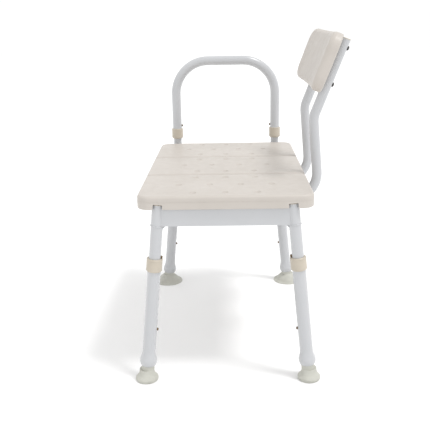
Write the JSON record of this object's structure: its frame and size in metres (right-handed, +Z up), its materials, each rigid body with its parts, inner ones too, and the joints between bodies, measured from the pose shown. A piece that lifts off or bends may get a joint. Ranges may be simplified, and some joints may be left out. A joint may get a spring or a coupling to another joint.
{
  "type": "tub transfer bench",
  "caption": "Tub transfer bench with a long drained panel seat, a pull-out backrest, a lift-off arm hoop, height-adjustable splayed legs, rubber tips and suction feet.",
  "frame": {"origin": "on the floor, under the middle of the whole bench's bounding box", "axes": "+Z up, +X along the seat towards the entry end with the rubber tips, +Y towards the backrest; the sitter faces -Y"},
  "size_m": [0.7164, 0.557, 0.8258],
  "materials": {
    "powder_coat": "satin",
    "seat_plastic": "fine satin grain",
    "collar_plastic": "satin",
    "foot_rubber": "matte",
    "button_metal": "satin",
    "spring_steel": "satin",
    "fastener_steel": "satin",
    "insert_brass": "satin"
  },
  "bodies": {
    "frame": {"seat_panel_tub": "seat_plastic", "seat_panel_middle": "seat_plastic", "seat_panel_entry": "seat_plastic", "seat_screws": "fastener_steel", "leg_gussets": "powder_coat", "arm_brackets": "powder_coat", "end_beam_entry": "powder_coat", "back_socket_entry": "powder_coat", "end_beam_tub": "powder_coat", "back_socket_tub": "powder_coat", "side_rail_front": "powder_coat", "side_rail_back": "powder_coat", "leg_plugs": "collar_plastic", "leg_lock_springs": "spring_steel", "leg_stop_springs": "spring_steel", "upper_leg_entry_front": "powder_coat", "upper_leg_entry_back": "powder_coat", "upper_leg_tub_front": "powder_coat", "upper_leg_tub_back": "powder_coat", "arm_springs": "spring_steel", "arm_post_front": "powder_coat", "arm_post_back": "powder_coat"},
    "lower_leg_entry_front": {"lower_leg_entry_front": "powder_coat", "leg_collar_entry_front": "collar_plastic", "rubber_tip_front": "foot_rubber"},
    "lock_button_entry_front": {"lock_button_entry_front": "button_metal"},
    "stop_button_entry_front": {"stop_button_entry_front": "button_metal"},
    "lower_leg_entry_back": {"lower_leg_entry_back": "powder_coat", "leg_collar_entry_back": "collar_plastic", "rubber_tip_back": "foot_rubber"},
    "lock_button_entry_back": {"lock_button_entry_back": "button_metal"},
    "stop_button_entry_back": {"stop_button_entry_back": "button_metal"},
    "lower_leg_tub_front": {"lower_leg_tub_front": "powder_coat", "leg_collar_tub_front": "collar_plastic", "suction_foot_front": "foot_rubber"},
    "lock_button_tub_front": {"lock_button_tub_front": "button_metal"},
    "stop_button_tub_front": {"stop_button_tub_front": "button_metal"},
    "lower_leg_tub_back": {"lower_leg_tub_back": "powder_coat", "leg_collar_tub_back": "collar_plastic", "suction_foot_back": "foot_rubber"},
    "lock_button_tub_back": {"lock_button_tub_back": "button_metal"},
    "stop_button_tub_back": {"stop_button_tub_back": "button_metal"},
    "arm_hoop": {"arm_hoop": "powder_coat", "arm_collar_front": "collar_plastic", "arm_collar_back": "collar_plastic"},
    "arm_button_front": {"arm_button_front": "button_metal"},
    "arm_button_back": {"arm_button_back": "button_metal"},
    "back": {"back_post_entry": "powder_coat", "back_post_tub": "powder_coat", "back_panel": "seat_plastic", "back_bolts": "fastener_steel", "back_inserts": "insert_brass", "back_plugs": "collar_plastic", "back_springs": "spring_steel"},
    "back_button_entry": {"back_button_entry": "button_metal"},
    "back_button_tub": {"back_button_tub": "button_metal"}
  },
  "joints": [
    {"name": "leg_height_entry_front", "type": "slide", "parent": "frame", "child": "lower_leg_entry_front", "axis": [0.0208, -0.0993, -0.9948], "range_m": [0, 0.12]},
    {"name": "lock_button_entry_front_press", "type": "slide", "parent": "frame", "child": "lock_button_entry_front", "axis": [-0.0021, -0.9951, 0.0993], "range_m": [0, 0.0057], "stiffness_N_per_m": 2000, "springref_m": -0.001, "deforming": ["leg_lock_springs"]},
    {"name": "stop_button_entry_front_press", "type": "slide", "parent": "frame", "child": "stop_button_entry_front", "axis": [-0.0021, -0.9951, 0.0993], "range_m": [0, 0.0057], "stiffness_N_per_m": 2000, "springref_m": -0.001, "deforming": ["leg_stop_springs"]},
    {"name": "leg_height_entry_back", "type": "slide", "parent": "frame", "child": "lower_leg_entry_back", "axis": [0.0208, 0.0993, -0.9948], "range_m": [0, 0.12]},
    {"name": "lock_button_entry_back_press", "type": "slide", "parent": "frame", "child": "lock_button_entry_back", "axis": [-0.0021, 0.9951, 0.0993], "range_m": [0, 0.0057], "stiffness_N_per_m": 2000, "springref_m": -0.001, "deforming": ["leg_lock_springs"]},
    {"name": "stop_button_entry_back_press", "type": "slide", "parent": "frame", "child": "stop_button_entry_back", "axis": [-0.0021, 0.9951, 0.0993], "range_m": [0, 0.0057], "stiffness_N_per_m": 2000, "springref_m": -0.001, "deforming": ["leg_stop_springs"]},
    {"name": "leg_height_tub_front", "type": "slide", "parent": "frame", "child": "lower_leg_tub_front", "axis": [-0.0208, -0.0993, -0.9948], "range_m": [0, 0.12]},
    {"name": "lock_button_tub_front_press", "type": "slide", "parent": "frame", "child": "lock_button_tub_front", "axis": [0.0021, -0.9951, 0.0993], "range_m": [0, 0.0057], "stiffness_N_per_m": 2000, "springref_m": -0.001, "deforming": ["leg_lock_springs"]},
    {"name": "stop_button_tub_front_press", "type": "slide", "parent": "frame", "child": "stop_button_tub_front", "axis": [0.0021, -0.9951, 0.0993], "range_m": [0, 0.0057], "stiffness_N_per_m": 2000, "springref_m": -0.001, "deforming": ["leg_stop_springs"]},
    {"name": "leg_height_tub_back", "type": "slide", "parent": "frame", "child": "lower_leg_tub_back", "axis": [-0.0208, 0.0993, -0.9948], "range_m": [0, 0.12]},
    {"name": "lock_button_tub_back_press", "type": "slide", "parent": "frame", "child": "lock_button_tub_back", "axis": [0.0021, 0.9951, 0.0993], "range_m": [0, 0.0057], "stiffness_N_per_m": 2000, "springref_m": -0.001, "deforming": ["leg_lock_springs"]},
    {"name": "stop_button_tub_back_press", "type": "slide", "parent": "frame", "child": "stop_button_tub_back", "axis": [0.0021, 0.9951, 0.0993], "range_m": [0, 0.0057], "stiffness_N_per_m": 2000, "springref_m": -0.001, "deforming": ["leg_stop_springs"]},
    {"name": "arm_lift_off", "type": "slide", "parent": "frame", "child": "arm_hoop", "axis": [0, 0, 1], "range_m": [0, 0.3]},
    {"name": "arm_button_front_press", "type": "slide", "parent": "frame", "child": "arm_button_front", "axis": [0, -1, 0], "range_m": [0, 0.0057], "stiffness_N_per_m": 2000, "springref_m": -0.001, "deforming": ["arm_springs"]},
    {"name": "arm_button_back_press", "type": "slide", "parent": "frame", "child": "arm_button_back", "axis": [0, 1, 0], "range_m": [0, 0.0057], "stiffness_N_per_m": 2000, "springref_m": -0.001, "deforming": ["arm_springs"]},
    {"name": "back_pull_out", "type": "slide", "parent": "frame", "child": "back", "axis": [0, 1, 0], "range_m": [0, 0.3]},
    {"name": "back_button_entry_press", "type": "slide", "parent": "back", "child": "back_button_entry", "axis": [0, 0, 1], "range_m": [0, 0.0057], "stiffness_N_per_m": 2000, "springref_m": -0.001, "deforming": ["back_springs"]},
    {"name": "back_button_tub_press", "type": "slide", "parent": "back", "child": "back_button_tub", "axis": [0, 0, 1], "range_m": [0, 0.0057], "stiffness_N_per_m": 2000, "springref_m": -0.001, "deforming": ["back_springs"]}
  ]
}
